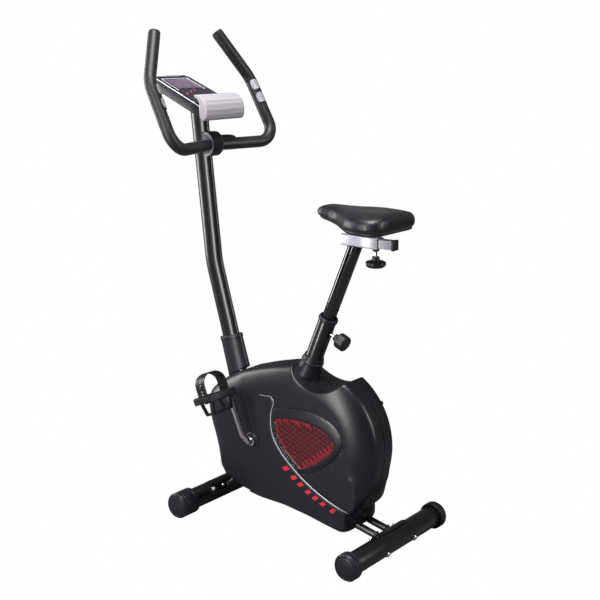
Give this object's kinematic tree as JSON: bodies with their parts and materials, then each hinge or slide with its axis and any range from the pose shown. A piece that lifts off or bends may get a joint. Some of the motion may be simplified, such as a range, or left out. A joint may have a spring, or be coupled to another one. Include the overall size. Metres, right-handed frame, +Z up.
{
  "type": "exercise bike",
  "caption": "Upright magnetic exercise bike: enclosed flywheel drive, pedals with straps, sliding saddle on a height-adjustable post, tilting handlebar and console.",
  "frame": {"origin": "on the floor under the middle of the bike's box", "axes": "+Z up; the bike faces -X; the rider's right side is +Y"},
  "size_m": [0.86, 0.4532, 1.3892],
  "materials": {
    "black_steel": "gloss black powder coat",
    "black_plastic": "satin moulded",
    "grey_plastic": "satin light grey",
    "silver_paint": "silver powder coat",
    "chrome": "polished",
    "zinc": "zinc plated",
    "cast_iron": "machined",
    "foam": "closed-cell foam",
    "vinyl": "soft black vinyl",
    "rubber": "moulded rubber",
    "glass": "clear window",
    "red_plastic": "moulded buttons"
  },
  "bodies": {
    "root": {"base_frame": "black_steel", "seat_tube": "black_steel", "post_stub": "black_steel", "flywheel_bracket_left": "black_steel", "flywheel_bracket_right": "black_steel", "front_stabiliser_tube": "black_steel", "rear_stabiliser_tube": "black_steel", "handlebar_post": "black_steel", "rear_left_end_cap": "black_plastic", "rear_right_end_cap": "black_plastic", "left_housing": "black_plastic", "right_housing": "black_plastic", "left_crank_cover": "black_plastic", "right_crank_cover": "black_plastic", "seat_tube_boot": "black_plastic", "post_boot": "black_plastic", "seat_tube_bushing": "black_plastic", "clamp_cover": "black_plastic", "console_body": "black_plastic", "tension_motor": "black_plastic", "console_nose": "grey_plastic", "front_left_bolt": "zinc", "front_right_bolt": "zinc", "rear_left_bolt": "zinc", "rear_right_bolt": "zinc", "left_crank_bearing": "zinc", "right_crank_bearing": "zinc", "flywheel_axle": "zinc", "drive_belt": "rubber", "lcd_window": "glass"},
    "crank": {"crank": "chrome", "drive_pulley": "black_plastic", "left_pedal_spindle": "chrome", "right_pedal_spindle": "chrome"},
    "left_pedal": {"left_pedal": "black_plastic", "left_pedal_strap": "rubber"},
    "right_pedal": {"right_pedal": "black_plastic", "right_pedal_strap": "rubber"},
    "flywheel": {"flywheel": "cast_iron"},
    "idler": {"idler_pulley": "zinc"},
    "brake": {"magnet_bracket": "zinc"},
    "left_roller": {"front_left_roller": "black_plastic"},
    "right_roller": {"front_right_roller": "black_plastic"},
    "seat_post": {"seat_post": "black_steel", "seat_channel": "silver_paint"},
    "seat_slider": {"seat_slider": "silver_paint", "slider_end_plug": "black_plastic", "saddle_base": "black_plastic", "saddle_pad": "vinyl"},
    "slider_knob": {"slider_knob": "black_plastic"},
    "pop_pin": {"pop_pin_knob": "black_plastic"},
    "handlebar": {"handlebar": "black_steel", "left_foam_grip": "foam", "right_foam_grip": "foam", "left_pulse_sensor": "chrome", "right_pulse_sensor": "chrome"},
    "clamp_knob": {"clamp_knob": "black_plastic"},
    "mode_button": {"mode_button": "red_plastic"},
    "down_button": {"down_button": "red_plastic"},
    "up_button": {"up_button": "red_plastic"}
  },
  "joints": [
    {"name": "flywheel_spin", "type": "hinge", "parent": "root", "child": "flywheel", "pos_m": [0.17, 0, 0.265], "axis": [0, 1, 0], "continuous": true},
    {"name": "crank_spin", "type": "hinge", "parent": "root", "child": "crank", "pos_m": [-0.05, 0, 0.24], "axis": [0, 1, 0], "continuous": true},
    {"name": "idler_spin", "type": "hinge", "parent": "root", "child": "idler", "pos_m": [0.11953, 0, 0.19475], "axis": [0, 1, 0], "continuous": true},
    {"name": "left_pedal_spin", "type": "hinge", "parent": "crank", "child": "left_pedal", "pos_m": [-0.1025, -0.1705, 0.38584], "axis": [0, 1, 0], "continuous": true},
    {"name": "right_pedal_spin", "type": "hinge", "parent": "crank", "child": "right_pedal", "pos_m": [0.0025, 0.1705, 0.09416], "axis": [0, 1, 0], "continuous": true},
    {"name": "brake_swing", "type": "hinge", "parent": "root", "child": "brake", "pos_m": [0.28395, 0, 0.28922], "axis": [0, 1, 0], "range_deg": [0, 6]},
    {"name": "left_roller_spin", "type": "hinge", "parent": "root", "child": "left_roller", "pos_m": [-0.221, 0, 0.038], "axis": [0, 1, 0], "continuous": true},
    {"name": "right_roller_spin", "type": "hinge", "parent": "root", "child": "right_roller", "pos_m": [-0.221, 0, 0.038], "axis": [0, 1, 0], "continuous": true},
    {"name": "seat_height", "type": "slide", "parent": "root", "child": "seat_post", "axis": [0.3843, 0, 0.9232], "range_m": [-0.1, 0.1]},
    {"name": "seat_slide", "type": "slide", "parent": "seat_post", "child": "seat_slider", "axis": [1, 0, 0], "range_m": [-0.04, 0.035]},
    {"name": "slider_knob_turn", "type": "hinge", "parent": "seat_post", "child": "slider_knob", "pos_m": [0.319, 0, 0.8172], "axis": [0, 0, 1], "range_deg": [0, 180]},
    {"name": "pop_pin_pull", "type": "slide", "parent": "root", "child": "pop_pin", "axis": [0.9232, 0, -0.3843], "range_m": [0, 0.012], "stiffness_N_per_m": 600},
    {"name": "handlebar_tilt", "type": "hinge", "parent": "root", "child": "handlebar", "pos_m": [-0.2515, 0, 1.067], "axis": [0, 1, 0], "range_deg": [-20, 20]},
    {"name": "clamp_knob_turn", "type": "hinge", "parent": "root", "child": "clamp_knob", "pos_m": [-0.281, 0, 1.076], "axis": [0, 1, 0], "range_deg": [0, 90]},
    {"name": "mode_button_press", "type": "slide", "parent": "root", "child": "mode_button", "axis": [-0.3746, 0, -0.9272], "range_m": [0, 0.0015], "stiffness_N_per_m": 300},
    {"name": "down_button_press", "type": "slide", "parent": "root", "child": "down_button", "axis": [-0.3746, 0, -0.9272], "range_m": [0, 0.0015], "stiffness_N_per_m": 300},
    {"name": "up_button_press", "type": "slide", "parent": "root", "child": "up_button", "axis": [-0.3746, 0, -0.9272], "range_m": [0, 0.0015], "stiffness_N_per_m": 300}
  ],
  "couplings": [
    {"joint": "crank_spin", "follows": "flywheel_spin", "ratio": 0.14286},
    {"joint": "idler_spin", "follows": "flywheel_spin", "ratio": -0.9375}
  ]
}
